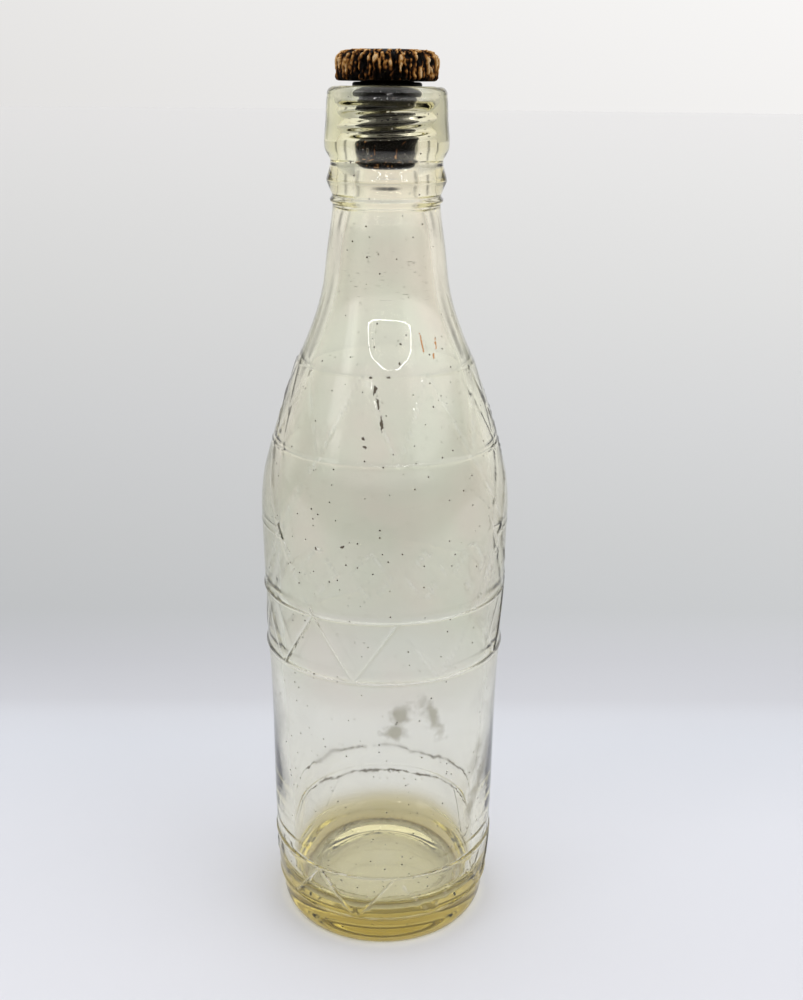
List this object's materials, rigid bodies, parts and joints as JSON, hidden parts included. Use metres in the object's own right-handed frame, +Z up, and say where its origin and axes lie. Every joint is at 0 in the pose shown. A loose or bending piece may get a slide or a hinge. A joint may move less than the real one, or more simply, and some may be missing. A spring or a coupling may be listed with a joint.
{
  "type": "glass soda bottle",
  "caption": "Tall clear glass soda bottle with a threaded mouth, a ribbed hard-rubber screw stopper and a rubber sealing ring under its head.",
  "frame": {"origin": "on the table, under the middle of the bottle's foot", "axes": "+Z up the bottle's axis to the stopper's head; -Y is the front, where the smooth panel is; +X is to the right seen from the front"},
  "size_m": [0.0852, 0.0852, 0.3008],
  "materials": {
    "bottle_glass": "clear, faint straw tint that deepens in the thick base",
    "ring_rubber": "matt black",
    "stopper_hard_rubber": "black hard rubber, worn tan and brown on the ribs"
  },
  "bodies": {
    "bottle": {"glass_bottle": "bottle_glass"},
    "ring": {"sealing_ring": "ring_rubber"},
    "stopper": {"screw_stopper": "stopper_hard_rubber"}
  },
  "joints": [
    {"name": "ring_rise", "type": "slide", "parent": "bottle", "child": "ring", "axis": [0, 0, 1], "range_m": [0, 0.03]},
    {"name": "stopper_turn", "type": "hinge", "parent": "ring", "child": "stopper", "pos_m": [0, 0, 0.2916], "axis": [0, 0, 1], "range_deg": [0, 2160]}
  ],
  "couplings": [
    {"joint": "ring_rise", "follows": "stopper_turn", "m_per_rad": 0.00079577}
  ]
}
